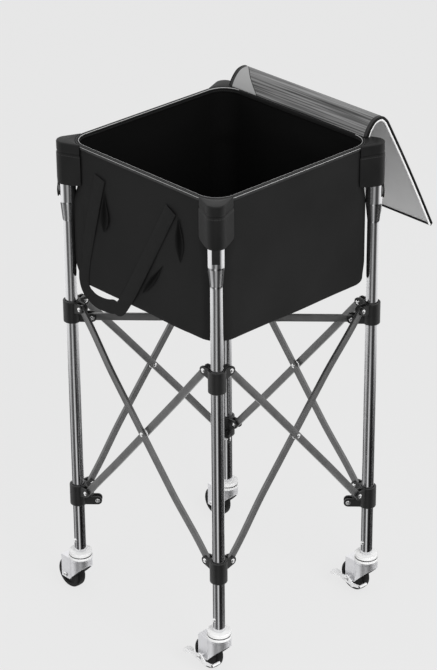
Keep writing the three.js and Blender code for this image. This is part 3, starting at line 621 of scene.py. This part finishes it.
# Brace: two arms of the same strip from the left and right upper collars to the middle of the cart.
# They step aside there and pass, held by one rivet, of which each arm carries its own end.
ARM, ARM_ASIDE, ARM_STRAIGHT, STUD = 0.2266, 0.0033, 0.1146, 0.0043
arm = strip(0, ARM, lambda x: ARM_ASIDE * smooth((x - ARM_STRAIGHT) / 0.05))
stud = moved(turned(rounded([(0, 0.006), (STUD, 0.006), (STUD, 0.0081), (0, 0.0081)], 0.0012, 4), 24),
             (ARM, 0, 0), -90, "X")
for leg in ("left", "right"):
    spot = CORNERS[leg] * (1 - MIDDLE_PIN / (half * math.sqrt(2))) + (0, 0, UPPER + MIDDLE_HEIGHT)
    piece(f"brace_{leg}", moved(arm, spot, TURNS[leg] + 45), f"brace_arm_{leg}", bar_metal, "bar_metal")
    piece(f"brace_rivet_{leg}", moved(stud, spot, TURNS[leg] + 45), f"brace_arm_{leg}", bright_steel,
          "bright_steel", stands_for=False)


# Bag: four walls of coated black cloth with rounded corners, on a floor that folds in two.
# The corners are held stiff by the legs, and the walls between them hang a little slack.
def skin(outside, inside):
    """A closed sheet between two grids of points: both faces, and a strip along the border."""
    rows, columns = outside.shape[:2]
    grid = np.arange(rows * columns).reshape(rows, columns)
    faces = quads(rows, columns)
    border = np.concatenate((grid[0], grid[1:, -1], grid[-1, -2::-1], grid[-2::-1, 0]))
    hem = np.stack((border[:-1], border[1:], border[1:] + grid.size, border[:-1] + grid.size), axis=1)
    return (np.concatenate((outside.reshape(-1, 3), inside.reshape(-1, 3))),
            [faces, faces[:, ::-1] + grid.size, hem])


def marked(u, v, *thirds):
    """The pattern's three numbers at each point of a grid, u and v and a third, once for each third given."""
    u, v = np.broadcast_arrays(u, v)
    return np.concatenate([np.stack((u, v, 0 * u + third), axis=-1).reshape(-1, 3) for third in thirds])


cloth = material("bag_fabric")
along, outwards, inside_mark = (cloth.pattern(i) for i in range(3))
THREADS = 3400  # radians to the metre
woven = (along * THREADS).sine() * (outwards * THREADS).sine()
faded = cloth.noise(9, 4)
dusty = cloth.noise(160, 3)
# Painted shade: the faces inside the bag, the floor halves' upper faces among them, are coloured darker (grey 13).
bag_cloth = cloth.surface(
    cloth.blend(inside_mark, cloth.blend(faded, grey(24), grey(38)), grey(13)), 0.62 + faded * 0.16,
    woven * 0.5 + dusty, 0.3, 0.0003, Specular_IOR_Level=0.12)

rim, bottom, arc_middle, arc_radius, thick, curl = 0.900, 0.640, 0.143, 0.042, 0.003, 0.005


def wall(path, normal, lengths, slack):
    """A length of wall: the path carried from the floor to the rim, its foot rolled in by a quarter circle,
    its outside pushed by the slack, and its inside one thickness behind."""
    curl_top = bottom + curl
    z = np.concatenate((curl_top - curl * np.cos(np.linspace(0, math.pi / 2, 5)),
                        np.linspace(curl_top, rim - 0.001, 46)[1:]))
    roll_in = curl - np.sqrt(np.maximum(curl**2 - np.clip(curl_top - z, 0, curl) ** 2, 0))
    push = slack(lengths[None], z[:, None]) - roll_in[:, None]
    outside = path[None] + normal[None] * push[..., None] + z[:, None, None] * (0, 0, 1)
    return skin(outside, outside - normal[None] * thick), marked(lengths[None], z[:, None], 0, 1)


def wall_path(side):
    """The straight of one wall from above, its outward normals, and the lengths along it."""
    x = np.linspace(-arc_middle, arc_middle, 73)
    spin = np.array(Matrix.Rotation(math.radians(90 * side), 3, "Z"))
    path = np.stack((x, 0 * x - half, 0 * x), axis=1) @ spin.T
    return path, np.broadcast_to(spin @ (0, -1, 0), path.shape), x


def corner_path(leg):
    """A quarter of a circle at that leg's corner, its outward normals, and the lengths along it."""
    t = np.radians(np.linspace(180, 270, 13) + TURNS[leg])
    normal = np.stack((np.cos(t), np.sin(t), 0 * t), axis=1)
    return CORNERS[leg] * arc_middle / half + normal * arc_radius, normal, (t - t[0]) * arc_radius


def slack_of(side):
    """Soft waves of a few sines over the wall and long dents, all fading to nothing at its ends and its rim."""
    shift = 1.7 * side

    def slack(x, z):
        held = smooth((arc_middle - np.abs(x)) / 0.05) * smooth((rim - 0.012 - z) / 0.05)
        waves = (np.sin(21 * x + 9 * z + shift) + 0.6 * np.sin(38 * x - 22 * z + 2 * shift)
                 + 0.4 * np.sin(13 * x + 41 * z + 3 * shift))
        sag = -0.0022 * np.cos(x / arc_middle * math.pi / 2) * smooth((z - bottom) / 0.03)
        return held * (0.0009 * waves + sag)
    return slack


WALL_LEG = ("left", "front", "back", "left")
LID_SIDE = 2
WALL_NODE = {"left": "bag_wall_left", "front": "bag_wall_front_right", "back": "bag_wall_back_right"}


def crumple(made):
    """Gives the piece a copy of its mesh of its own."""
    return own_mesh(made)


for side in range(4):
    leg = WALL_LEG[side]
    path, normal, lengths = wall_path(side)
    shell, marks = wall(path, normal, lengths, slack_of(side))
    made = piece(f"bag_side_{SIDES[side]}", shell, WALL_NODE[leg], bag_cloth, "bag_fabric", pattern=marks)
    crumple(made)

CORNER_NODE = {"left": "bag_wall_left", "front": "bag_wall_front_right", "right": "corner_pocket_right",
               "back": "bag_wall_back_right"}
FULLNESS = {"left": 0.008, "front": 0.002, "right": 0.003, "back": 0.003}
for leg in LEGS:
    path, normal, lengths = corner_path(leg)
    full = FULLNESS[leg]
    shell, marks = wall(path, normal, lengths, lambda x, z: full * np.sin(x / lengths[-1] * math.pi)
                        * smooth((0.818 - z) / 0.03) * smooth((z - bottom) / 0.04))
    made = piece(f"bag_corner_{leg}", shell, CORNER_NODE[leg], bag_cloth, "bag_fabric", stands_for=False,
                 pattern=marks)


# Rim binding: a strip of tape folded over the walls' top edge and sewn through.
# A pale line is painted as a highlight along both of its folds, and the stitches lie just under them.
# On the lid's side its seam hides both.
tape = material("rim_tape")
run, reach_out, height_up = (tape.pattern(i) for i in range(3))
# Painted highlight: two thin pale lines along the tape's folds.
painted_highlight = tape.between(height_up, -0.0034, -0.0026) * (reach_out > 0.0012)
painted_highlight = painted_highlight + tape.between(reach_out, -0.0046, -0.0036) * (height_up > -0.0009)
stitch = tape.between((run * 260).fraction(), 0.15, 0.8) * tape.between(height_up, -0.0062, -0.0054)
RIBS = 5200  # radians to the metre
ribbed = (run * RIBS).sine()
rim_tape = tape.surface(
    tape.blend(painted_highlight, tape.blend(stitch, grey(17), grey(58)), grey(192)), 0.55 - painted_highlight * 0.2,
    ribbed * 0.3 + stitch * 2.0, 0.35, 0.0003)

tape_line = rounded([(0.0015, -0.008), (0.0015, -0.0002), (-0.0003, -0.0002), (-0.0009, -0.0012), (-0.0021, -0.0012),
                     (-0.0027, -0.0002), (-0.0045, -0.0002), (-0.0045, -0.008)], 0.0005, 3, True)


def carried(path, normal, lengths, section):
    """A closed section (a, b) carried along a path under the rim: path + a normal + (rim + b) up, ends closed."""
    points = path[:, None] + normal[:, None] * section[None, :, :1] + (rim + section[None, :, 1:]) * (0, 0, 1)
    return capped(points), marked(lengths[:, None], section[:, 0], section[:, 1])


for side in range(4):
    shell, marks = carried(*wall_path(side), tape_line)
    if side == LID_SIDE:
        marks = marks - (0, 0, 1)
    made = piece(f"rim_tape_{SIDES[side]}", shell, WALL_NODE[WALL_LEG[side]], rim_tape, "bag_fabric",
                 stands_for=False, pattern=marks)
    crumple(made)
for leg in LEGS:
    shell, marks = carried(*corner_path(leg), tape_line)
    piece(f"rim_tape_corner_{leg}", shell, CORNER_NODE[leg], rim_tape, "bag_fabric", stands_for=False, pattern=marks)


# Bag floor: two stiffened halves in the same cloth, sewn to the walls' foot and hinged in the middle.
# They sag about a millimetre between the seams.
def floor_half(side):
    """Half of a rounded square: rows across y reach out to the walls' inside, dished by a product of cosines."""
    play, hinge_gap = 0.0006, 0.0002
    y = np.linspace(-1, 1, 41) * (half - thick - play)
    into_corner = np.clip(np.abs(y) - arc_middle, 0, None)
    x_end = arc_middle + np.sqrt(np.maximum((arc_radius - thick - play) ** 2 - into_corner**2, 0))
    x = hinge_gap + np.linspace(0, 1, 25)[None] * (x_end[:, None] - hinge_gap)
    wide_y = y[:, None] + 0 * x
    dish = -0.0012 * np.cos(wide_y / half * math.pi / 2) * np.cos(x / half * math.pi / 2) * (1 - smooth(1 - x / 0.02))
    top = np.stack((side * x, wide_y, bottom + 0.0032 + dish), axis=-1)
    return skin(top, top - (0, 0, thick)), marked(side * x, wide_y, 1, 0)


for leg, side in (("left", -1), ("right", 1)):
    shell, marks = floor_half(side)
    made = piece(f"floor_{leg}", shell, f"bag_floor_{leg}", bag_cloth, "bag_fabric", pattern=marks)
    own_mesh(made)


# Corner pockets: stiffened cloth hoods that hold the leg tops, sewn to both walls beside each corner.
# A seam runs round under the flat cap, and a webbing tab hangs from the foot.
hood_cloth = material("pocket_fabric")
round_it, up_it, _ = (hood_cloth.pattern(i) for i in range(3))
weave = (round_it * THREADS).sine() * (up_it * THREADS).sine()
thread = hood_cloth.between((round_it * 230).fraction(), 0.2, 0.85) * hood_cloth.between(up_it, 0.8764, 0.8773)
seam = hood_cloth.between(up_it, 0.8801, 0.8816)
patch = hood_cloth.noise(30, 4)
pocket_cloth = hood_cloth.surface(
    hood_cloth.blend(seam, hood_cloth.blend(thread, hood_cloth.blend(patch, grey(19), grey(30)), grey(54)),
                     grey(8)),
    0.40 + patch * 0.12, weave * 0.4 + thread * 2 - seam * 3, 0.35, 0.0003, Specular_IOR_Level=0.24)

POCKET, POCKET_FOOT, POCKET_SEAM, POCKET_TOP, CAP = 0.017, 0.823, 0.8809, 0.8975, 0.0024


def pocket():
    """A hood over one leg top. From above it is a line that leaves one wall, runs straight to the hood's circle,
    round it, and back to the other wall, and returns along the bag's corner. It is carried up from the foot,
    where the wings' corners are rounded off, to a cap with an eased edge."""
    wing = np.array((0.037, -0.0026))
    distance = np.hypot(*wing)
    lean = math.atan2(wing[1], wing[0])
    touch = lean - math.acos(POCKET / distance)
    circle = bow((0, 0), POCKET, math.degrees(touch), -270 - math.degrees(touch), 40)
    t = np.linspace(0, 1, 10)[:-1, None]
    first = wing * (1 - t) + circle[0] * t
    back = bow((arc_radius, arc_radius), 0.0438, 187.2, 262.8, 14)
    plan = np.concatenate((first, circle, first[::-1, ::-1], back))
    out = np.clip((np.max(plan, axis=1) - 0.015) / 0.022, 0, 1)
    foot_z = POCKET_FOOT + 0.003 * out**2
    even = 0 * foot_z
    rings = [(0, even + 0.830), (0.9, foot_z + 0.006), (0.93, foot_z)]
    for share in np.linspace(0, 1, 24)[:-1]:
        z = foot_z + share * (POCKET_TOP - foot_z)
        squeeze = 0.0009 * np.exp(-(((z - POCKET_SEAM) / 0.0014) ** 2))
        swell = 0.0005 * smooth((POCKET_SEAM - z) / 0.002) * smooth((z - POCKET_FOOT) / 0.01)
        rings.append((1 - (squeeze - swell)[:, None] / POCKET, z))
    for angle in np.linspace(0, math.pi / 2, 5):
        rings.append((1 - 0.0022 / POCKET * (1 - math.cos(angle)), even + POCKET_TOP + CAP * math.sin(angle)))
    rings.append((0, even + POCKET_TOP + CAP))
    grid = np.stack([np.column_stack((plan * scale, z)) for scale, z in rings])
    steps = np.linalg.norm(np.diff(plan, axis=0, append=plan[:1]), axis=1)
    travelled = np.concatenate(([0], np.cumsum(steps)[:-1]))
    return (grid.reshape(-1, 3), [quads(*grid.shape[:2], wrap_columns=True)]), marked(travelled, grid[..., 2], 0)


hood_shell, hood_marks = pocket()
band = material("strap_webbing")
rib_along, rib_across, _ = (band.pattern(i) for i in range(3))
rib = (rib_along * 2800).sine() + (rib_across * RIBS).sine() * 0.4
fuzz = band.noise(70, 3)
webbing = band.surface(
    band.blend(fuzz, grey(25), grey(37)), 0.62 + fuzz * 0.15, rib, 0.3, 0.0003, Specular_IOR_Level=0.12)

tab_line = rounded([(-0.0065, 0), (0.0065, 0), (0.0065, 0.0022), (-0.0065, 0.0022)], 0.0006, 2, True)
TAB_FOOT, TAB_LENGTH = 0.798, 0.032
tab_z = np.linspace(TAB_FOOT, TAB_FOOT + TAB_LENGTH, 12)[:, None]
tab_out = 0.0148 + 0.0008 * np.sin((tab_z - TAB_FOOT) / TAB_LENGTH * 5)
tab_grid = np.stack(np.broadcast_arrays(tab_out + tab_line[:, 1], tab_line[:, 0], tab_z), axis=-1)
tab, tab_marks = capped(tab_grid), marked(tab_grid[..., 2], tab_grid[..., 1], 0)
for leg, corner in CORNERS.items():
    piece(f"pocket_{leg}", moved(hood_shell, corner, TURNS[leg]), f"corner_pocket_{leg}", pocket_cloth,
          "bag_fabric", pattern=hood_marks)
    piece(f"tab_{leg}", moved(moved(tab, angle=225), corner, TURNS[leg]), f"corner_pocket_{leg}", webbing,
          "strap_webbing", stands_for=False, pattern=tab_marks)


# Handle strap: one length of black webbing sewn to the front left wall at both ends.
# Its loop hangs past the bag's foot, and beside it four thin dark sheets are painted shade where the cloth folds.
def through(points, steps):
    """A smooth line through the points: each span is the Catmull-Rom cubic of the four points about it."""
    points = np.asarray(points, float)
    last = len(points) - 1
    i = np.arange(last)
    p0, p1, p2, p3 = (points[np.clip(i + k, 0, last)][:, None] for k in (-1, 0, 1, 2))
    t = np.linspace(0, 1, steps, endpoint=False)[None, :, None]
    spans = 0.5 * (2 * p1 + (p2 - p0) * t + (2 * p0 - 5 * p1 + 4 * p2 - p3) * t**2
                   + (3 * p1 - p0 - 3 * p2 + p3) * t**3)
    return np.concatenate((spans.reshape(-1, points.shape[1]), points[-1:]))


def along_line(line):
    """The distance along a line at each of its points, and the line's direction there."""
    steps = np.diff(line, axis=0)
    way = np.gradient(line, axis=0)
    way /= np.linalg.norm(way, axis=1, keepdims=True)
    return np.concatenate(([0], np.cumsum(np.linalg.norm(steps, axis=1)))), way


STRAP, WALL_FACE = 0.013, -0.1853
strap_line = through([(-0.099, 0.856), (-0.122, 0.774), (-0.146, 0.676), (-0.146, 0.638), (-0.128, 0.622),
                      (-0.104, 0.618), (-0.072, 0.624), (-0.040, 0.646), (0.078, 0.854)], 10)
gone, way = along_line(strap_line)
share = np.linspace(-1, 1, 13)
edge_way = np.stack((-way[:, 1], way[:, 0]), axis=1)
flat = strap_line[:, None] + edge_way[:, None] * share[None, :, None] * STRAP
face_y = WALL_FACE + 0 * flat[..., 0]
front = np.stack((flat[..., 0], face_y - 0.0005 - 0.0010 * (1 - share**4), flat[..., 1]), axis=-1)
rear = np.stack((flat[..., 0], face_y - 0.0003, flat[..., 1]), axis=-1)
strap = piece("strap", skin(front, rear), "handle_strap", webbing, "strap_webbing",
              pattern=marked(gone[:, None], share * STRAP, 0, 0))
crumple(strap)

# Painted shade: the folds beside the strap are near-black sheets on the wall, fading towards the cloth's grey at
# their edges.
fold_shade_paint = material("painted_fold_shade")
down_fold, off_middle, _ = (fold_shade_paint.pattern(i) for i in range(3))
lint = fold_shade_paint.noise(90, 3)
fading = (abs(down_fold - 0.4) * 0.55 + off_middle - 0.12).held(1.5)
painted_fold_shade = fold_shade_paint.surface(
    fold_shade_paint.blend(fading, fold_shade_paint.blend(lint, grey(4), grey(10)), grey(27)), 0.8, lint, 0.3, 0.0003,
    Specular_IOR_Level=0.05)


def leaf(start, end, widest, peak):
    """A narrow dark sheet that stands for the shade of a fold, from start to end, t from 0 to 1: its half width is
    widest sin(pi t^k), with the power k that makes it widest at the peak, and its face rises a little towards its
    middle line. Its marks are t and the square of the share of the half width."""
    t, s = np.linspace(0, 1, 25)[:, None], np.linspace(-1, 1, 7)[None]
    swell = np.sin(math.pi * t ** (math.log(0.5) / math.log(peak)))
    x = start[0] + (end[0] - start[0]) * t + s * widest * swell
    z = start[1] + (end[1] - start[1]) * t + 0 * s
    front = np.stack((x, WALL_FACE - 0.0012 * (1 - s**2) * swell, z), axis=-1)
    rear = np.stack((x, 0 * x + WALL_FACE + 0.0002, z), axis=-1)
    return skin(front, rear), marked(t, s**2, 0, 0)


leaves = [leaf(*shape) for shape in (
    ((-0.0886, 0.8390), (-0.0925, 0.7560), 0.0110, 0.68), ((0.0945, 0.8470), (0.0985, 0.7640), 0.0105, 0.58),
    ((-0.1375, 0.7330), (-0.1490, 0.6620), 0.0120, 0.22), ((0.0560, 0.7450), (0.0020, 0.6740), 0.0075, 0.60))]
folds = piece("strap_fold_shade", joined(*(shell for shell, _ in leaves)), "handle_strap", painted_fold_shade,
              "strap_webbing", stands_for=False, pattern=np.concatenate([marks for _, marks in leaves]))
crumple(folds)


# Lid: a band sewn along the back rim that arches over, and a stiff panel sewn to the band.
# The cloth is grey with black cord round its edges, and a white line runs inside the cord at the ends.
LID, LID_CLOTH, CORD, PIPING = 0.168, 0.004, 0.0024, 0.0018
PANEL_MARKS = 0.090  # past the patch on the band
grey_cloth = material("lid_cloth")
from_middle, from_rim, upper_side = (grey_cloth.pattern(i) for i in range(3))
from_end = LID - abs(from_middle)
streak = (grey_cloth.noise(1.0, 5, (5, 330, 330)) - 0.33).held(3.0)
haze = grey_cloth.noise(14, 3)
under = grey_cloth.blend(haze, grey(214), grey(230))
upper = grey_cloth.blend(streak, grey(30), grey(146))
patch_edge = (from_middle + LID) - (0.069 - from_rim * 1.24)
upper = grey_cloth.blend(patch_edge < 0.0, upper, grey(168))
upper = grey_cloth.blend(grey_cloth.between(patch_edge, -0.0008, 0.0014), upper, grey(45))
upper = grey_cloth.blend(from_end < 0.007, upper, grey(26))
under = grey_cloth.blend(from_end < 0.0045, under, grey(24))
woof = (from_rim * 3600).sine()
lid_cloth = grey_cloth.surface(
    grey_cloth.blend(upper_side, under, upper), 0.5 + haze * 0.15, woof * 0.5 + haze, 0.25, 0.0002)

cord_finish = material("edge_cord")
twist = cord_finish.noise(900, 2)
edge_cord = cord_finish.surface(
    cord_finish.blend(twist, grey(9), grey(16)), 0.5, twist, 0.3, 0.0002, Specular_IOR_Level=0.2)
piping = material("white_piping")
spun = piping.noise(900, 2)
white_piping = piping.surface(piping.blend(spun, grey(240), grey(252)), 0.5, spun, 0.3, 0.0002)


def ribbon_normal(line):
    """At each point of a line (y, z) its direction (a, b) turned a quarter to the upper side: (-b, a)."""
    _, way = along_line(line)
    return np.stack((-way[:, 1], way[:, 0]), axis=1)


def ribbon(line, first_mark):
    """A sheet along x with the line (y, z) as its section: both faces stand half the cloth's thickness off it.
    Its marks count along the line, on from the first."""
    gone, _ = along_line(line)
    x = np.linspace(-LID, LID, 49)[None]
    faces = [np.stack(np.broadcast_arrays(x, at[:, :1], at[:, 1:]), axis=-1)
             for at in (line + side * ribbon_normal(line) * LID_CLOTH / 2 for side in (1, -1))]
    return skin(*faces), marked(x, first_mark + gone[:, None], 1, 0), gone


def cord_round(line, radius):
    """A round cord along a line of points: circles in the plane across the line, its ends closed."""
    _, way = along_line(line)
    first = np.cross(way, (0.3, 0.9, 0.1) if abs(way[0, 0]) > 0.9 else (1.0, 0, 0))
    first /= np.linalg.norm(first, axis=1, keepdims=True)
    second = np.cross(way, first)
    t = (np.arange(10) * math.tau / 10)[:, None]
    return capped(line[:, None] + radius * (first[:, None] * np.cos(t) + second[:, None] * np.sin(t)))


def end_cords(line, reach, radius):
    """A cord along the line at both ends of the lid."""
    return [cord_round(np.column_stack((np.full(len(line), x), line)), radius) for x in (-reach, reach)]


lid_foot = np.array((0.1835, 0.9023))
steps = np.array([(0, 0), (7, 12), (19, 23), (35, 25), (46, 17), (52, 8)]) / 1000
band_line = np.concatenate(([lid_foot - (0, 0.0012)], through(lid_foot + steps, 7)))
hang = np.array((0.117, -0.222))
bend = np.sin(np.linspace(0, math.pi, 41))[:, None] * (0.0015, 0.0008)
panel_line = np.linspace(band_line[-1], band_line[-1] + hang, 41) + bend + hang * 0.0012
for name, line, first_mark in (("band", band_line, 0), ("panel", panel_line, PANEL_MARKS)):
    shell, marks, gone = ribbon(line, first_mark)
    node = f"lid_{name}"
    made = piece(f"{node}_cloth", shell, node, lid_cloth, "lid_mesh", pattern=marks)
    cords = end_cords(line, LID, CORD)
    if name == "panel":
        x = np.linspace(-LID, LID, 30)
        hem = line[-1] - ribbon_normal(line)[-1] * 0.002 + (0.0005, -0.0009)
        cords.append(cord_round(np.column_stack((x, np.tile(hem, (30, 1)))), CORD))
    edging = piece(f"{node}_edging", joined(*cords), node, edge_cord, "bag_fabric", stands_for=False)
    cords = end_cords(line - ribbon_normal(line) * 0.0041, LID - 0.0006, PIPING)
    inside_mark = piece(f"{node}_piping", joined(*cords), node, white_piping, "white_nylon", stands_for=False)
    for part in (made, edging, inside_mark):
        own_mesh(part)
